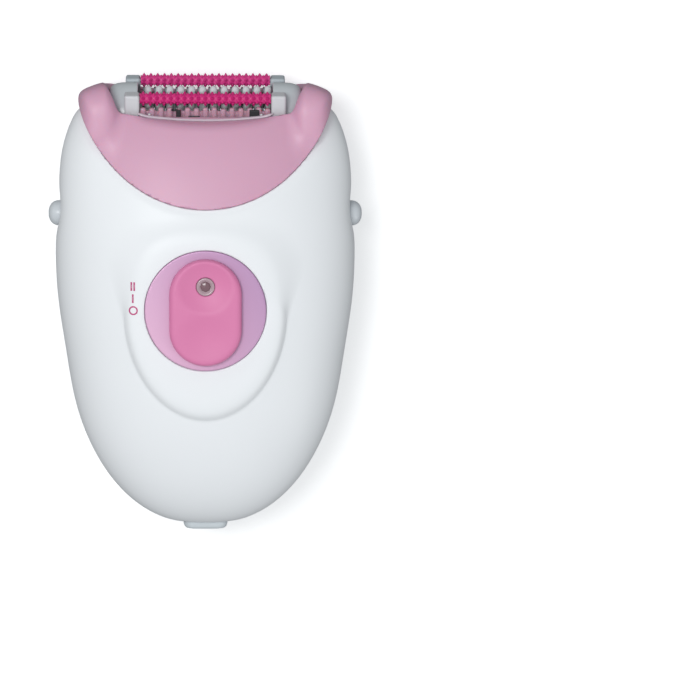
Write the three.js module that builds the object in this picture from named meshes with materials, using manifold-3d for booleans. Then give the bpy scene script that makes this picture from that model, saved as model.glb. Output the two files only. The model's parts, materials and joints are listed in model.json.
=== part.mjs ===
// Handheld epilator with a pull-off tweezer head, lying on its back.
//
// Millimetres. +X runs right, +Y towards the tweezer head and +Z out of the front, where the switch is.
// While the pieces are made, y is counted from the power inlet's end; placePart() then moves the middle of
// the length to the origin. The tweezer head leans forward: its pieces are made about the rotor's own axis,
// with local y out of the head and local z towards the front massage roller, and lean() puts them in place.

import * as THREE from "three";
import { mergeVertices } from "three/addons/utils/BufferGeometryUtils.js";
import Module from "manifold-3d";

const wasm = await Module();
wasm.setup();

// ---------------------------------------------------------------- driving dimensions

const LENGTH = 107.4;
const PARTING_Z = 19;
const WALL = 2;
const GAP = 0.3;
const FAR = 60;

const BODY = { low: 1.2, high: 110, widest: 67, thickest: 57, halfWidth: 35, front: 21.5, back: 19.6 };
const SECTION_POWER = 2.3;
const EGG_AROUND = 36;
const EGG_ALONG = 18;

const CRESCENT = { low: 78.4, rise: 34, reach: 31, side: 30.4 };
const HORN = { x: 24.4, y: 97.5, halfWidth: 5.1, height: 8.6, halfDepth: 11.5, power: 2.5 };

const BOSS = { y: 55.3, halfWidth: 18.6, low: 30.2, high: 73.5, top: 40.5, domeRadius: 350 };
const DISC = { radius: 14.4, floor: 39.3 };
const KNOB = { halfWidth: 8.4, length: 25.1, low: 40.8, high: 43.2, travel: 5.8 };
const LIGHT = { y: 61, radius: 2.2 };
const STEM = { y: 50, halfWidth: 1.5, halfLength: 2.5 };

const BUTTON = { y: 75.2, radius: 2.95, tip: 36.6, shoulder: 34.2, flange: 32.7, stemEnd: 29.7 };
const BUTTON_ARM = { from: 24.8, to: 30.2, low: 68, high: 79, halfDepth: 4, wall: 0.8 };
const INLET = { halfWidth: 5.2, halfHeight: 3.6, depth: 12, cavityDepth: 8, pinSpacing: 3.2 };

const ROTOR_Y = 98.6;
const LEAN = THREE.MathUtils.degToRad(12);
const ROLLER = { out: 5.8, apart: 7, halfLength: 15.1, core: 1.05, spike: 1.65, spikes: 19, pin: 0.6 };
const TWEEZER = { count: 20, pitch: 1.54, tip: 7, valley: 5.3, core: 3.3, thickness: 0.6, offset: 0.3 };
const FRAME = { halfLength: 22.9, halfDepth: 10.2, top: 2.2, radius: 9.2 };
const CAP = { inner: 6.5, outer: 7.2, from: 15.6, to: 22.2 };
const BRACKET = { from: 15.7, to: 18.9, low: -3, frontHigh: 7.8, rearHigh: 6.6, nearDepth: 5.3, farDepth: 9 };
const TONGUE = { from: 26.6, to: 27.6, low: 73.6, shelf: 94, high: 96, halfDepth: 3.5 };
const NECK = { low: 73.5, deck: 88.5, halfWidth: 26.4, inset: 2.5, wall: 1.8 };

const GEAR_PLANE = { from: -21.5, to: -18.7 };
const ROTOR_GEAR_FROM = -20.4;
const WHEEL_PLANE = { from: -18.4, to: -16 };
const FINE = 0.6;
const COARSE = 0.6;
const TEETH = { motor: 12, wheel: 34, pinion: 14, output: 30, rotor: 18 };
const OUTPUT_Y = ROTOR_Y - (COARSE * (TEETH.rotor + TEETH.output)) / 2;
const IDLER_Y = OUTPUT_Y - (COARSE * (TEETH.output + TEETH.pinion)) / 2;
const MOTOR_Y = IDLER_Y - (FINE * (TEETH.wheel + TEETH.motor)) / 2;
const MOTOR = { radius: 12.2, from: -13.2, to: 17.8, wall: 1 };
const PLATE = { from: -15.4, to: -13.4 };
const COVER = { from: -24.2, to: -22.6 };
const AXLE_RADIUS = 1;
const RUNNING = 0.05;

const LOOKS = {
  whiteShell: { color: 0xe8eaed, roughness: 0.22, metalness: 0 },
  pinkShell: { color: 0xd9aec4, roughness: 0.3, metalness: 0 },
  pinkTrough: { color: 0xaa8897, roughness: 0.4, metalness: 0 },
  lilacMetal: { color: 0xd3aacb, roughness: 0.35, metalness: 0.6 },
  pinkKnob: { color: 0xdd86b0, roughness: 0.3, metalness: 0 },
  clearLens: { color: 0x8a6872, roughness: 0.15, metalness: 0 },
  greyButton: { color: 0xd2d6da, roughness: 0.35, metalness: 0 },
  greyCap: { color: 0xb9c1c6, roughness: 0.35, metalness: 0 },
  whiteBracket: { color: 0xd6d6da, roughness: 0.4, metalness: 0 },
  greyBracket: { color: 0x929da2, roughness: 0.4, metalness: 0 },
  magenta: { color: 0xc83282, roughness: 0.4, metalness: 0 },
  whiteTweezer: { color: 0xdcdfe1, roughness: 0.35, metalness: 0 },
  steel: { color: 0x9a9da1, roughness: 0.3, metalness: 1 },
  motorSteel: { color: 0x8d9194, roughness: 0.35, metalness: 1 },
  copper: { color: 0xb06a3c, roughness: 0.4, metalness: 1 },
  brass: { color: 0xc0a050, roughness: 0.35, metalness: 1 },
  bronze: { color: 0xa8763e, roughness: 0.4, metalness: 1 },
  ivoryGear: { color: 0xe6e0d0, roughness: 0.5, metalness: 0 },
  greyChassis: { color: 0x8d9297, roughness: 0.55, metalness: 0 },
  blackPlastic: { color: 0x1c1d20, roughness: 0.5, metalness: 0 },
  greenBoard: { color: 0x1f6b45, roughness: 0.45, metalness: 0 },
};

// ---------------------------------------------------------------- solids from three.js shapes

function toSolid(geometry) {
  const bare = geometry.clone();
  bare.deleteAttribute("normal");
  bare.deleteAttribute("uv");
  const merged = mergeVertices(bare, 1e-4);
  return new wasm.Manifold(
    new wasm.Mesh({
      numProp: 3,
      vertProperties: new Float32Array(merged.attributes.position.array),
      triVerts: new Uint32Array(merged.index.array),
    }),
  );
}

function toGeometry(solid) {
  const mesh = solid.getMesh();
  const geometry = new THREE.BufferGeometry();
  geometry.setAttribute("position", new THREE.BufferAttribute(new Float32Array(mesh.vertProperties), 3));
  geometry.setIndex(new THREE.BufferAttribute(new Uint32Array(mesh.triVerts), 1));
  geometry.computeVertexNormals();
  return geometry;
}

function joined(...solids) {
  return solids.reduce((whole, next) => whole.add(next));
}

function box(x0, x1, y0, y1, z0, z1) {
  const geometry = new THREE.BoxGeometry(x1 - x0, y1 - y0, z1 - z0);
  return toSolid(geometry.translate((x0 + x1) / 2, (y0 + y1) / 2, (z0 + z1) / 2));
}

function rodX(radius, x0, x1, y, z, sides = 16) {
  const geometry = new THREE.CylinderGeometry(radius, radius, x1 - x0, sides);
  return toSolid(geometry.rotateZ(Math.PI / 2).translate((x0 + x1) / 2, y, z));
}

function rodY(radius, y0, y1, x, z, sides = 16) {
  const geometry = new THREE.CylinderGeometry(radius, radius, y1 - y0, sides);
  return toSolid(geometry.translate(x, (y0 + y1) / 2, z));
}

function rodZ(radius, z0, z1, x, y, sides = 24) {
  const geometry = new THREE.CylinderGeometry(radius, radius, z1 - z0, sides);
  return toSolid(geometry.rotateX(Math.PI / 2).translate(x, y, (z0 + z1) / 2));
}

function ellipsoid(rx, ry, rz, x, y, z, around = 24, along = 12) {
  const geometry = new THREE.SphereGeometry(1, around, along);
  return toSolid(geometry.scale(rx, ry, rz).translate(x, y, z));
}

function shapeOf(points) {
  return new THREE.Shape(points.map(([x, y]) => new THREE.Vector2(x, y)));
}

function slabZ(points, z0, z1) {
  const geometry = new THREE.ExtrudeGeometry(shapeOf(points), { depth: z1 - z0, bevelEnabled: false });
  return toSolid(geometry.translate(0, 0, z0));
}

// A profile of [z, y] points, carried along X.
function slabX(points, x0, x1) {
  const turned = points.map(([z, y]) => [-z, y]);
  const geometry = new THREE.ExtrudeGeometry(shapeOf(turned), { depth: x1 - x0, bevelEnabled: false });
  return toSolid(geometry.rotateY(Math.PI / 2).translate(x0, 0, 0));
}

// A profile of [radius, x] points turned about the X axis at (y, z). It starts and ends on the axis.
function turnedX(profile, y, z, sides = 24) {
  const points = profile.map(([radius, x]) => new THREE.Vector2(radius, x));
  const geometry = new THREE.LatheGeometry(points, sides);
  return toSolid(geometry.rotateZ(-Math.PI / 2).translate(0, y, z));
}

function mirrored(solid) {
  return solid.mirror([1, 0, 0]);
}

function lean(solid) {
  return solid.rotate([THREE.MathUtils.radToDeg(LEAN), 0, 0]).translate([0, ROTOR_Y, PARTING_Z]);
}

function stadium(halfWidth, y0, y1, steps = 12) {
  const points = [];
  for (let i = 0; i <= steps; i += 1) {
    const angle = (Math.PI * i) / steps;
    points.push([halfWidth * Math.cos(angle), y1 - halfWidth + halfWidth * Math.sin(angle)]);
  }
  for (let i = 0; i <= steps; i += 1) {
    const angle = Math.PI + (Math.PI * i) / steps;
    points.push([halfWidth * Math.cos(angle), y0 + halfWidth + halfWidth * Math.sin(angle)]);
  }
  return points;
}

// ---------------------------------------------------------------- the egg-shaped body

function bulge(distance, reach, power) {
  const share = Math.min(1, distance / reach);
  return (1 - share ** power) ** (1 / power);
}

function halfWidthAt(y) {
  return y < BODY.widest
    ? BODY.halfWidth * bulge(BODY.widest - y, BODY.widest - BODY.low, 2.3)
    : BODY.halfWidth * bulge(y - BODY.widest, BODY.high - BODY.widest, 3.2);
}

function frontAt(y) {
  return y < BODY.thickest
    ? BODY.front * bulge(BODY.thickest - y, BODY.thickest - BODY.low, 2.2)
    : BODY.front * bulge(y - BODY.thickest, BODY.high - BODY.thickest, 2);
}

function backAt(y) {
  return y < BODY.thickest
    ? BODY.back * bulge(BODY.thickest - y, BODY.thickest - BODY.low, 2.4)
    : BODY.back * bulge(y - BODY.thickest, BODY.high - BODY.thickest, 3);
}

function signedPower(value, power) {
  return Math.sign(value) * Math.abs(value) ** power;
}

// The body's outer form pulled in by inset: a sphere whose rings are stretched to the body's sections.
function egg(inset) {
  const middle = (BODY.low + BODY.high) / 2;
  const half = (BODY.high - BODY.low) / 2;
  const slim = (BODY.halfWidth - inset) / BODY.halfWidth;
  const shallow = (BODY.front - inset) / BODY.front;
  const flat = (BODY.back - inset) / BODY.back;
  const short = (half - inset) / half;
  const geometry = new THREE.SphereGeometry(1, EGG_AROUND, EGG_ALONG);
  const position = geometry.attributes.position;
  for (let i = 0; i < position.count; i += 1) {
    const ring = Math.hypot(position.getX(i), position.getZ(i));
    const across = ring > 1e-6 ? position.getX(i) / ring : 0;
    const up = ring > 1e-6 ? position.getZ(i) / ring : 0;
    const y = middle + half * position.getY(i);
    const x = slim * halfWidthAt(y) * signedPower(across, 2 / SECTION_POWER);
    const depth = up > 0 ? shallow * frontAt(y) : flat * backAt(y);
    const z = PARTING_Z + depth * signedPower(up, 2 / SECTION_POWER);
    position.setXYZ(i, x, middle + (y - middle) * short, Math.max(z, inset));
  }
  return toSolid(geometry);
}

// Everything on the head's side of the crescent seam, moved by gap towards the head.
function aboveCrescent(gap) {
  const points = [];
  const steps = 24;
  for (let i = 0; i <= steps; i += 1) {
    const x = CRESCENT.side * Math.cos((Math.PI * (steps - i)) / steps);
    const share = x / CRESCENT.reach;
    const y = CRESCENT.low + CRESCENT.rise * (1 - Math.sqrt(1 - share * share)) + gap;
    points.push([x - (gap * x) / CRESCENT.side, y]);
  }
  points.push([CRESCENT.side - gap, 2 * FAR], [gap - CRESCENT.side, 2 * FAR]);
  return slabZ(points, -FAR, FAR);
}

// Raised island round the switch: an upright stadium whose top is a very shallow dome.
function bossOutline() {
  const points = [];
  const steps = 32;
  for (let i = 0; i < steps; i += 1) {
    const angle = (2 * Math.PI * i) / steps;
    const end = Math.sin(angle) > 0 ? BOSS.high : BOSS.low;
    const x = BOSS.halfWidth * signedPower(Math.cos(angle), 0.8);
    const y = BOSS.y + Math.abs(end - BOSS.y) * signedPower(Math.sin(angle), 0.8);
    points.push([x, y]);
  }
  return points;
}

function bossDome() {
  const height = 30;
  const reach = Math.sqrt(BOSS.domeRadius * height);
  const geometry = new THREE.SphereGeometry(1, 28, 24).rotateX(Math.PI / 2);
  return toSolid(geometry.scale(reach, reach, height).translate(0, BOSS.y, BOSS.top - height));
}

function shellBlank() {
  const boss = slabZ(bossOutline(), PARTING_Z + 10, FAR).intersect(bossDome());
  const hollow = egg(WALL);
  const head = aboveCrescent(-GAP / 2);
  const inlet = inletOutline(GAP / 2).intersect(box(-FAR, FAR, -FAR, INLET.depth + GAP, -FAR, FAR));
  const holes = rodX(BUTTON.radius + GAP, -FAR, FAR, BUTTON.y, PARTING_Z, 24);
  return joined(egg(0), boss).subtract(joined(hollow, head, inlet, holes));
}

function frontShell() {
  const upper = shellBlank().intersect(box(-FAR, FAR, -FAR, 2 * FAR, PARTING_Z + GAP / 2, FAR));
  const recess = rodZ(DISC.radius + 0.1, DISC.floor, FAR, 0, BOSS.y, 36);
  return upper.subtract(joined(recess, switchWindow(0.4)));
}

function backShell() {
  return shellBlank().intersect(box(-FAR, FAR, -FAR, 2 * FAR, -FAR, PARTING_Z - GAP / 2));
}

// ---------------------------------------------------------------- switch, light and board

function switchWindow(gap) {
  const halfWidth = STEM.halfWidth + gap;
  const y0 = STEM.y - STEM.halfLength - gap;
  const y1 = STEM.y + STEM.halfLength + KNOB.travel + gap;
  const slot = box(-halfWidth, halfWidth, y0, y1, PARTING_Z + 10, FAR);
  return slot.add(rodZ(LIGHT.radius - 0.2, PARTING_Z + 10, FAR, 0, LIGHT.y + KNOB.travel / 2, 16));
}

function switchPlate() {
  const disc = rodZ(DISC.radius, DISC.floor, FAR, 0, BOSS.y, 36);
  return disc.intersect(bossDome()).subtract(switchWindow(0.3));
}

function switchKnob() {
  const half = KNOB.length / 2;
  const bevel = 0.7;
  const outline = stadium(KNOB.halfWidth - bevel, BOSS.y - half + bevel, BOSS.y + half - bevel, 14);
  const depth = KNOB.high - KNOB.low - bevel;
  const options = { depth, bevelThickness: bevel, bevelSize: bevel, bevelSegments: 3 };
  const geometry = new THREE.ExtrudeGeometry(shapeOf(outline), options).translate(0, 0, KNOB.low);
  const flatBase = box(-FAR, FAR, -FAR, 2 * FAR, KNOB.low, FAR);
  const dish = new THREE.CylinderGeometry(6.4, LIGHT.radius, 1.3, 28).rotateX(Math.PI / 2);
  const dishCut = toSolid(dish.translate(0, LIGHT.y, KNOB.high - 0.64));
  const lensHole = rodZ(LIGHT.radius + 0.02, 0, FAR, 0, LIGHT.y, 24);
  const thumb = ellipsoid(6.6, 6.2, 2.2, 0, BOSS.y - 5.6, KNOB.high + 1.1);
  const stemPocket = stemBox(0.02, PARTING_Z, KNOB.low + 0.9);
  return toSolid(geometry).intersect(flatBase).subtract(joined(dishCut, lensHole, thumb, stemPocket));
}

function stemBox(gap, z0, z1) {
  const halfWidth = STEM.halfWidth + gap;
  const halfLength = STEM.halfLength + gap;
  return box(-halfWidth, halfWidth, STEM.y - halfLength, STEM.y + halfLength, z0, z1);
}

function lightLens() {
  const body = rodZ(LIGHT.radius, KNOB.low, KNOB.high - 1.25, 0, LIGHT.y, 18);
  return body.add(ellipsoid(LIGHT.radius, LIGHT.radius, 0.5, 0, LIGHT.y, KNOB.high - 1.25, 18, 8));
}

function switchFork() {
  const stem = stemBox(0, 37, KNOB.low + 0.9);
  const runner = box(-4, 4, STEM.y - 5, STEM.y + 5, 36.8, 38);
  const finger = box(-0.8, 0.8, STEM.y - 0.8, STEM.y + 0.8, 35.2, 36.9);
  return joined(stem, runner, finger);
}

function circuitBoard() {
  return box(-11, 11, 38, 74, 31.9, 33.3);
}

function switchBlock() {
  const body = box(-6, 6, STEM.y - 6, STEM.y + 10.5, 33.3, 36.4);
  return body.subtract(box(-1.2, 1.2, STEM.y - 1.4, STEM.y + 1.4 + KNOB.travel, 34.9, FAR));
}

function lightDiode() {
  const y = LIGHT.y + KNOB.travel / 2;
  const tip = ellipsoid(1.4, 1.4, 1.4, 0, y, 36, 14, 8);
  return joined(rodZ(1.4, 33.3, 36, 0, y, 14), rodZ(1.7, 33.3, 33.9, 0, y, 14), tip);
}

// ---------------------------------------------------------------- power inlet

function inletOutline(gap) {
  const halfWidth = INLET.halfWidth + gap;
  const halfHeight = INLET.halfHeight + gap;
  const corner = 2.4;
  const slab = (x, z) => box(-x, x, 0, INLET.depth, PARTING_Z - z, PARTING_Z + z);
  const middle = slab(halfWidth - corner, halfHeight);
  const wide = slab(halfWidth, halfHeight - corner);
  const corners = [];
  for (const side of [-1, 1]) {
    for (const up of [-1, 1]) {
      const z = PARTING_Z + up * (halfHeight - corner);
      corners.push(rodY(corner, 0, INLET.depth, side * (halfWidth - corner), z));
    }
  }
  return joined(middle, wide, ...corners);
}

function inletSocket() {
  const cavity = box(-3.7, 3.7, -FAR, INLET.cavityDepth, PARTING_Z - 2.2, PARTING_Z + 2.2);
  const mouth = box(-4.1, 4.1, -FAR, 0.6, PARTING_Z - 2.6, PARTING_Z + 2.6);
  const pins = [-1, 1].map((side) => rodY(0.62, 0, FAR, (side * INLET.pinSpacing) / 2, PARTING_Z));
  return inletOutline(0).subtract(joined(cavity, mouth, ...pins));
}

function inletPin(side) {
  const x = (side * INLET.pinSpacing) / 2;
  const nose = ellipsoid(0.6, 0.8, 0.6, x, 5.2, PARTING_Z, 12, 8);
  return joined(rodY(0.6, 5.2, INLET.depth + 2.5, x, PARTING_Z, 12), nose);
}

// ---------------------------------------------------------------- gears

function involute(angle) {
  return Math.tan(angle) - angle;
}

// Tooth form about the X axis: y runs along the line of centres and z across it. With toothUp a tooth points
// along +Y, otherwise a gap points along -Y.
function gearProfile(teeth, module, toothUp) {
  const pitch = (teeth * module) / 2;
  const base = pitch * Math.cos(THREE.MathUtils.degToRad(20));
  const radii = [pitch - 1.25 * module, pitch, pitch + 0.8 * module];
  const slack = 0.86;
  const halfAngleAt = (radius) => {
    const pressure = Math.acos(Math.min(1, base / radius));
    const nominal = (slack * Math.PI) / (2 * teeth);
    return nominal + involute(THREE.MathUtils.degToRad(20)) - involute(pressure);
  };
  const start = toothUp ? Math.PI / 2 : -Math.PI / 2 + Math.PI / teeth;
  const points = [];
  for (let tooth = 0; tooth < teeth; tooth += 1) {
    const centre = start + (2 * Math.PI * tooth) / teeth;
    for (const radius of radii) {
      const angle = centre - halfAngleAt(radius);
      points.push([radius * Math.cos(angle), radius * Math.sin(angle)]);
    }
    for (const radius of [...radii].reverse()) {
      const angle = centre + halfAngleAt(radius);
      points.push([radius * Math.cos(angle), radius * Math.sin(angle)]);
    }
  }
  return points;
}

function gear(teeth, module, toothUp, x0, x1, y) {
  return slabX(gearProfile(teeth, module, toothUp), x0, x1).translate([0, y, PARTING_Z]);
}

function motorPinion() {
  const teeth = gear(TEETH.motor, FINE, true, WHEEL_PLANE.from, WHEEL_PLANE.to, MOTOR_Y);
  return teeth.subtract(rodX(AXLE_RADIUS + 0.01, -FAR, FAR, MOTOR_Y, PARTING_Z, 16));
}

function compoundGear() {
  const wheel = gear(TEETH.wheel, FINE, false, WHEEL_PLANE.from, WHEEL_PLANE.to, IDLER_Y);
  const pinion = gear(TEETH.pinion, COARSE, true, GEAR_PLANE.from, WHEEL_PLANE.from + 0.1, IDLER_Y);
  const dish = rodX(8.6, WHEEL_PLANE.to - 0.8, FAR, IDLER_Y, PARTING_Z, 28).subtract(
    rodX(2.6, -FAR, FAR, IDLER_Y, PARTING_Z, 20),
  );
  const bore = rodX(AXLE_RADIUS + RUNNING, -FAR, FAR, IDLER_Y, PARTING_Z, 20);
  return joined(wheel, pinion).subtract(joined(dish, bore));
}

function outputGear() {
  const wheel = gear(TEETH.output, COARSE, false, GEAR_PLANE.from, GEAR_PLANE.to, OUTPUT_Y);
  const bore = rodX(AXLE_RADIUS + RUNNING, -FAR, FAR, OUTPUT_Y, PARTING_Z, 20);
  const windows = [];
  for (let i = 0; i < 4; i += 1) {
    const angle = (Math.PI * (2 * i + 1)) / 4;
    const y = OUTPUT_Y + 4.7 * Math.sin(angle);
    const z = PARTING_Z + 4.7 * Math.cos(angle);
    windows.push(rodX(1.7, -FAR, FAR, y, z, 14));
  }
  return wheel.subtract(joined(bore, ...windows));
}

function rotorGear() {
  const wheel = gear(TEETH.rotor, COARSE, true, ROTOR_GEAR_FROM, GEAR_PLANE.to, ROTOR_Y);
  return wheel.subtract(rodX(1.3, -FAR, FAR, ROTOR_Y, PARTING_Z, 16));
}

// ---------------------------------------------------------------- motor and chassis

function motorCan() {
  const can = rodX(MOTOR.radius, MOTOR.from, MOTOR.to, MOTOR_Y, PARTING_Z, 36);
  const hollow = rodX(MOTOR.radius - MOTOR.wall, MOTOR.from + MOTOR.wall, FAR, MOTOR_Y, PARTING_Z, 32);
  const bore = rodX(AXLE_RADIUS + RUNNING, -FAR, FAR, MOTOR_Y, PARTING_Z);
  const flats = joined(
    box(-FAR, FAR, MOTOR_Y - FAR, MOTOR_Y - 11.7, -FAR, FAR),
    box(-FAR, FAR, MOTOR_Y + 11.7, MOTOR_Y + FAR, -FAR, FAR),
  );
  return can.subtract(joined(hollow, bore, flats, ...motorScrewHoles()));
}

function motorEndBell() {
  const plug = rodX(MOTOR.radius - MOTOR.wall - 0.05, MOTOR.to - 3, MOTOR.to, MOTOR_Y, PARTING_Z, 32);
  const lid = rodX(8, MOTOR.to - 0.1, MOTOR.to + 1.2, MOTOR_Y, PARTING_Z, 28);
  const flats = box(-FAR, FAR, MOTOR_Y - 10.3, MOTOR_Y + 10.3, -FAR, FAR);
  const bore = rodX(AXLE_RADIUS + RUNNING, -FAR, MOTOR.to + 0.4, MOTOR_Y, PARTING_Z);
  return joined(plug, lid).intersect(flats).subtract(bore);
}

const MOTOR_SCREW_OFFSET = 7.5;

function motorScrewHoles() {
  const end = MOTOR.from + MOTOR.wall + GAP;
  return [-1, 1].map((up) => rodX(0.75, -FAR, end, MOTOR_Y, PARTING_Z + up * MOTOR_SCREW_OFFSET, 14));
}

function motorScrew(up) {
  const z = PARTING_Z + up * MOTOR_SCREW_OFFSET;
  const shank = rodX(0.74, PLATE.from, MOTOR.from + MOTOR.wall, MOTOR_Y, z, 14);
  const head = rodX(1.4, PLATE.from - 0.9, PLATE.from, MOTOR_Y, z, 18);
  const slot = box(-FAR, PLATE.from - 0.5, MOTOR_Y - 1, MOTOR_Y + 1, z - 0.2, z + 0.2);
  return joined(shank, head).subtract(slot);
}

function motorShaft() {
  return rodX(AXLE_RADIUS, WHEEL_PLANE.from - 0.2, MOTOR.to + 0.2, MOTOR_Y, PARTING_Z, 16);
}

function motorArmature() {
  const stack = rodX(8.4, -8, 10, MOTOR_Y, PARTING_Z, 30);
  const commutator = rodX(3.4, 9.9, MOTOR.to - 3.4, MOTOR_Y, PARTING_Z, 20);
  const slots = [0, 120, 240].map((turn) => {
    return box(-FAR, FAR, 5, 10, -0.8, 0.8).rotate([turn, 0, 0]).translate([0, MOTOR_Y, PARTING_Z]);
  });
  const bore = rodX(AXLE_RADIUS + 0.01, -FAR, FAR, MOTOR_Y, PARTING_Z, 16);
  return joined(stack, commutator).subtract(joined(bore, ...slots));
}

const COVER_POST = { y: 60.5, offset: 9.6, radius: 1.6 };

function coverScrewHoles() {
  return [-1, 1].map((up) => rodX(0.76, -FAR, 0, COVER_POST.y, PARTING_Z + up * COVER_POST.offset, 14));
}

// Neck that plugs into the pull-off head, its deck, the plate that carries motor and gears, and the two arms
// that guide the release buttons.
function gearChassis() {
  const outerSize = box(-NECK.halfWidth, NECK.halfWidth, NECK.low, NECK.deck, -FAR, FAR);
  const innerHalf = NECK.halfWidth - 1.6;
  const innerSize = box(-innerHalf, innerHalf, -FAR, NECK.deck - 1.5, -FAR, FAR);
  const inside = egg(NECK.inset + NECK.wall).intersect(innerSize);
  const neck = egg(NECK.inset).intersect(outerSize).subtract(inside);
  const plate = box(PLATE.from, PLATE.to, 44, NECK.deck - 1, 7.5, 30.5).intersect(egg(NECK.inset + 1));
  const slotHalf = 9.4;
  const gearSlot = box(
    GEAR_PLANE.from - 0.7,
    GEAR_PLANE.to + 0.4,
    80,
    2 * FAR,
    PARTING_Z - slotHalf,
    PARTING_Z + slotHalf,
  );
  const bores = [
    rodX(AXLE_RADIUS, -FAR, FAR, IDLER_Y, PARTING_Z),
    rodX(AXLE_RADIUS, -FAR, FAR, OUTPUT_Y, PARTING_Z),
    rodX(AXLE_RADIUS + 1.2, -FAR, 0, MOTOR_Y, PARTING_Z),
    ...motorScrewHoles(),
    ...coverScrewHoles(),
  ];
  const boreZone = box(-FAR, PLATE.to + 1, -FAR, 2 * FAR, -FAR, FAR);
  const plateCut = plate.subtract(joined(...bores).intersect(boreZone));
  return joined(neck.subtract(gearSlot), plateCut.subtract(gearSlot), buttonArm(), mirrored(buttonArm()));
}

// Foot that reaches out from the neck and stands up behind a release button, with a hole for its stem.
function buttonArm() {
  const bar = (x0, x1, high) => {
    const { low, halfDepth } = BUTTON_ARM;
    return box(x0, x1, low, high, PARTING_Z - halfDepth, PARTING_Z + halfDepth);
  };
  const rail = bar(BUTTON_ARM.from, BUTTON_ARM.to, BUTTON_ARM.low + 2.4);
  const riser = bar(BUTTON_ARM.from, NECK.halfWidth, NECK.low + 2);
  const guide = bar(BUTTON_ARM.to - BUTTON_ARM.wall, BUTTON_ARM.to, BUTTON_ARM.high);
  const hole = rodX(1.5, 28, 32, BUTTON.y, PARTING_Z, 18);
  return joined(rail, riser, guide).subtract(hole);
}

function gearCover() {
  const plate = box(COVER.from, COVER.to, 56, NECK.deck - 1.9, PARTING_Z - 12, PARTING_Z + 12);
  const { radius, y: postY, offset } = COVER_POST;
  const posts = [-1, 1].map((up) => {
    return rodX(radius, COVER.to - 0.1, PLATE.from, postY, PARTING_Z + up * offset, 18);
  });
  const axles = [IDLER_Y, OUTPUT_Y].map((y) => rodX(AXLE_RADIUS, -FAR, 0, y, PARTING_Z));
  const body = joined(plate, ...posts).intersect(egg(NECK.inset + NECK.wall + 0.7));
  return body.subtract(joined(...coverScrewHoles(), ...axles));
}

function coverScrew(up) {
  const z = PARTING_Z + up * COVER_POST.offset;
  const shank = rodX(0.75, COVER.from, PLATE.to, COVER_POST.y, z, 14);
  const head = rodX(1.5, COVER.from - 0.9, COVER.from, COVER_POST.y, z, 18);
  const slot = box(-FAR, COVER.from - 0.5, COVER_POST.y - 1.1, COVER_POST.y + 1.1, z - 0.2, z + 0.2);
  return joined(shank, head).subtract(slot);
}

function fixedAxle(y) {
  return rodX(AXLE_RADIUS, COVER.from, PLATE.to, y, PARTING_Z);
}

// ---------------------------------------------------------------- release buttons

function releaseButton() {
  const profile = [
    [0, BUTTON.stemEnd],
    [1.4, BUTTON.stemEnd],
    [1.4, BUTTON.flange - 0.8],
    [2.6, BUTTON.flange - 0.8],
    [2.6, BUTTON.flange],
    [BUTTON.radius, BUTTON.flange],
    [BUTTON.radius, BUTTON.shoulder],
  ];
  const steps = 5;
  for (let i = 1; i <= steps; i += 1) {
    const angle = (Math.PI * i) / (2 * steps);
    const x = BUTTON.shoulder + (BUTTON.tip - BUTTON.shoulder) * Math.sin(angle);
    profile.push([i === steps ? 0 : BUTTON.radius * Math.cos(angle), x]);
  }
  return turnedX(profile, BUTTON.y, PARTING_Z, 18);
}

class Helix extends THREE.Curve {
  getPoint(share) {
    const turns = 2.5;
    const angle = 2 * Math.PI * turns * share;
    const x = 30.45 + 1.2 * share;
    return new THREE.Vector3(x, BUTTON.y + 2 * Math.cos(angle), PARTING_Z + 2 * Math.sin(angle));
  }
}

function buttonSpring() {
  const sides = [0, 1, 2, 3, 4];
  const turn = (2 * Math.PI) / sides.length;
  const wire = shapeOf(sides.map((i) => [0.19 * Math.cos(i * turn), 0.19 * Math.sin(i * turn)]));
  const options = { steps: 32, extrudePath: new Helix(), bevelEnabled: false };
  return toSolid(new THREE.ExtrudeGeometry(wire, options));
}

// ---------------------------------------------------------------- pull-off head

function horn() {
  const geometry = new THREE.SphereGeometry(1, 20, 12);
  const position = geometry.attributes.position;
  const power = 2 / HORN.power;
  for (let i = 0; i < position.count; i += 1) {
    const x = HORN.x + HORN.halfWidth * signedPower(position.getX(i), power);
    const y = HORN.y + HORN.height * signedPower(position.getY(i), power);
    position.setXYZ(i, x, y, PARTING_Z + HORN.halfDepth * position.getZ(i));
  }
  return toSolid(geometry);
}

// What lies under the head's rim: low along the middle, rising to a horn at each end.
function belowRim() {
  const half = [
    [31.5, 0],
    [30, 3],
    [28.6, 5.4],
    [26.6, 7],
    [24.6, 7.7],
    [23.2, 7.3],
    [22.2, 6.3],
    [21.2, 4.8],
    [19.5, 3.6],
    [12, 2.7],
    [0, 2.4],
  ];
  const mirroredHalf = half.slice(0, -1).reverse().map(([x, y]) => [-x, y]);
  return lean(slabZ([[FAR, -30], [FAR, 0], ...half, ...mirroredHalf, [-FAR, 0], [-FAR, -30]], -FAR, FAR));
}

function headOpening() {
  const halfLength = FRAME.halfLength + 0.5;
  const halfDepth = FRAME.halfDepth + 0.4;
  return lean(box(-halfLength, halfLength, -12, 20, -halfDepth, halfDepth));
}

function headHousing() {
  const outer = joined(egg(0), horn(), mirrored(horn()));
  const hollow = egg(WALL).intersect(box(-FAR, FAR, -FAR, ROTOR_Y - 2, -FAR, FAR));
  const solid = outer.intersect(aboveCrescent(GAP / 2)).intersect(belowRim());
  return solid.subtract(joined(hollow, headOpening()));
}

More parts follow.
